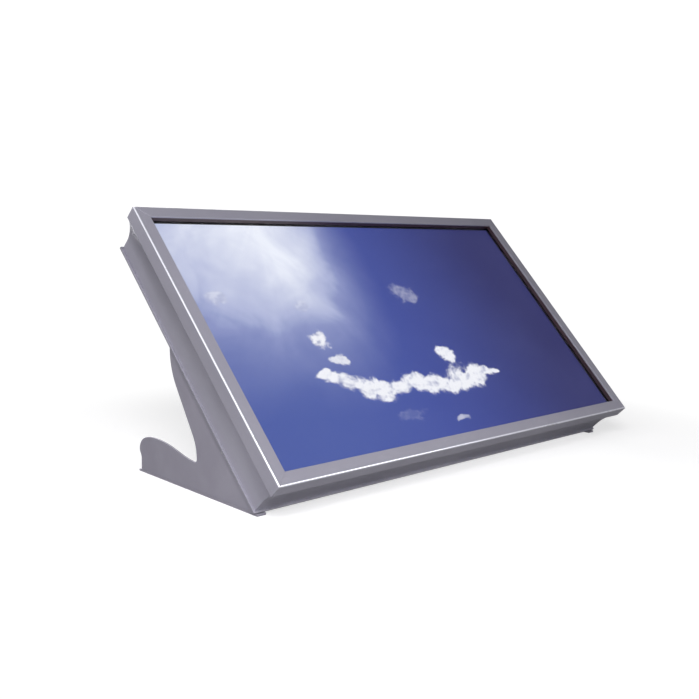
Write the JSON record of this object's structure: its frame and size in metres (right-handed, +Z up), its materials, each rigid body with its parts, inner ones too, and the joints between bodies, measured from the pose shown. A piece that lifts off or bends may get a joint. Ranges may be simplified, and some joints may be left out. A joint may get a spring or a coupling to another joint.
{
  "type": "touchscreen kiosk",
  "caption": "Free-standing sloping touchscreen kiosk: a wide framed display at 45 degrees on two swept side legs, with a hinged service door, cooling fans and sockets in its rear cover.",
  "frame": {"origin": "middle of the outer box, on the floor that the foot plates stand on", "axes": "+Z up, +X along the width, -Y towards the person who uses the screen"},
  "size_m": [1.072, 0.5092, 0.5134],
  "materials": {
    "frame_finish": "satin silver anodised",
    "cover_finish": "satin silver sheet",
    "leg_finish": "satin silver powder coat",
    "cast_key": "as cast",
    "dark_filter": "dark red-brown, semi-gloss",
    "cover_glass": "polished toughened glass",
    "gasket_rubber": "matt",
    "display_panel": "anti-glare display film",
    "inner_sheet": "plain sheet",
    "black_case": "matt black",
    "circuit_board": "green solder mask",
    "black_plastic": "matt black moulding",
    "bright_steel": "zinc-plated",
    "lock_brass": "machined"
  },
  "bodies": {
    "housing": {"bezel_rail_bottom": "frame_finish", "bezel_rail_right": "frame_finish", "bezel_rail_top": "frame_finish", "bezel_rail_left": "frame_finish", "casing_rail_bottom": "frame_finish", "casing_rail_right": "frame_finish", "casing_rail_top": "frame_finish", "casing_rail_left": "frame_finish", "corner_key_bottom_left": "cast_key", "corner_key_bottom_right": "cast_key", "corner_key_top_right": "cast_key", "corner_key_top_left": "cast_key", "touch_bar_bottom": "dark_filter", "touch_bar_right": "dark_filter", "touch_bar_top": "dark_filter", "touch_bar_left": "dark_filter", "front_glass": "cover_glass", "glass_gasket": "gasket_rubber", "lcd_panel": "display_panel", "lcd_backlight": "inner_sheet", "panel_bracket_left": "inner_sheet", "panel_bracket_right": "inner_sheet", "electronics_tray": "inner_sheet", "media_player": "black_case", "power_supply": "inner_sheet", "display_board": "circuit_board", "touch_controller": "circuit_board", "fan_frame_left": "black_plastic", "fan_frame_right": "black_plastic", "rear_cover": "cover_finish", "hinge_cover_leaf": "bright_steel", "hinge_pin": "bright_steel", "power_inlet": "black_plastic", "network_socket": "black_plastic", "switch_frame": "black_plastic", "cover_screw_1": "bright_steel", "cover_screw_2": "bright_steel", "cover_screw_3": "bright_steel", "cover_screw_4": "bright_steel", "leg_screw_left_1": "bright_steel", "leg_screw_left_2": "bright_steel", "leg_screw_left_3": "bright_steel", "leg_screw_right_1": "bright_steel", "leg_screw_right_2": "bright_steel", "leg_screw_right_3": "bright_steel", "cross_bar": "bright_steel", "cross_bar_screw_left": "bright_steel", "cross_bar_screw_right": "bright_steel", "left_leg": "leg_finish", "right_leg": "leg_finish", "left_foot_plate": "leg_finish", "right_foot_plate": "leg_finish"},
    "door": {"service_door": "cover_finish", "hinge_door_leaf": "bright_steel", "lock_housing": "bright_steel"},
    "lock_turning": {"lock_plug": "lock_brass", "lock_cam": "bright_steel"},
    "fan_left": {"fan_rotor_left": "black_plastic"},
    "fan_right": {"fan_rotor_right": "black_plastic"},
    "rocker": {"switch_rocker": "black_plastic"}
  },
  "joints": [
    {"name": "door_hinge", "type": "hinge", "parent": "housing", "child": "door", "pos_m": [-0.12045, 0.12835, 0.30305], "axis": [0, 0.7071, 0.7071], "range_deg": [0, 110]},
    {"name": "lock_turn", "type": "hinge", "parent": "door", "child": "lock_turning", "pos_m": [0.1, 0.12602, 0.30539], "axis": [0, -0.7071, 0.7071], "range_deg": [-90, 0]},
    {"name": "fan_left_spin", "type": "hinge", "parent": "housing", "child": "fan_left", "pos_m": [-0.345, 0.1297, 0.33027], "axis": [0, -0.7071, 0.7071], "continuous": true},
    {"name": "fan_right_spin", "type": "hinge", "parent": "housing", "child": "fan_right", "pos_m": [0.345, 0.1297, 0.33027], "axis": [0, -0.7071, 0.7071], "continuous": true},
    {"name": "switch_rock", "type": "hinge", "parent": "housing", "child": "rocker", "pos_m": [-0.212, -0.11475, 0.06674], "axis": [1, 0, 0], "range_deg": [0, 16]}
  ]
}
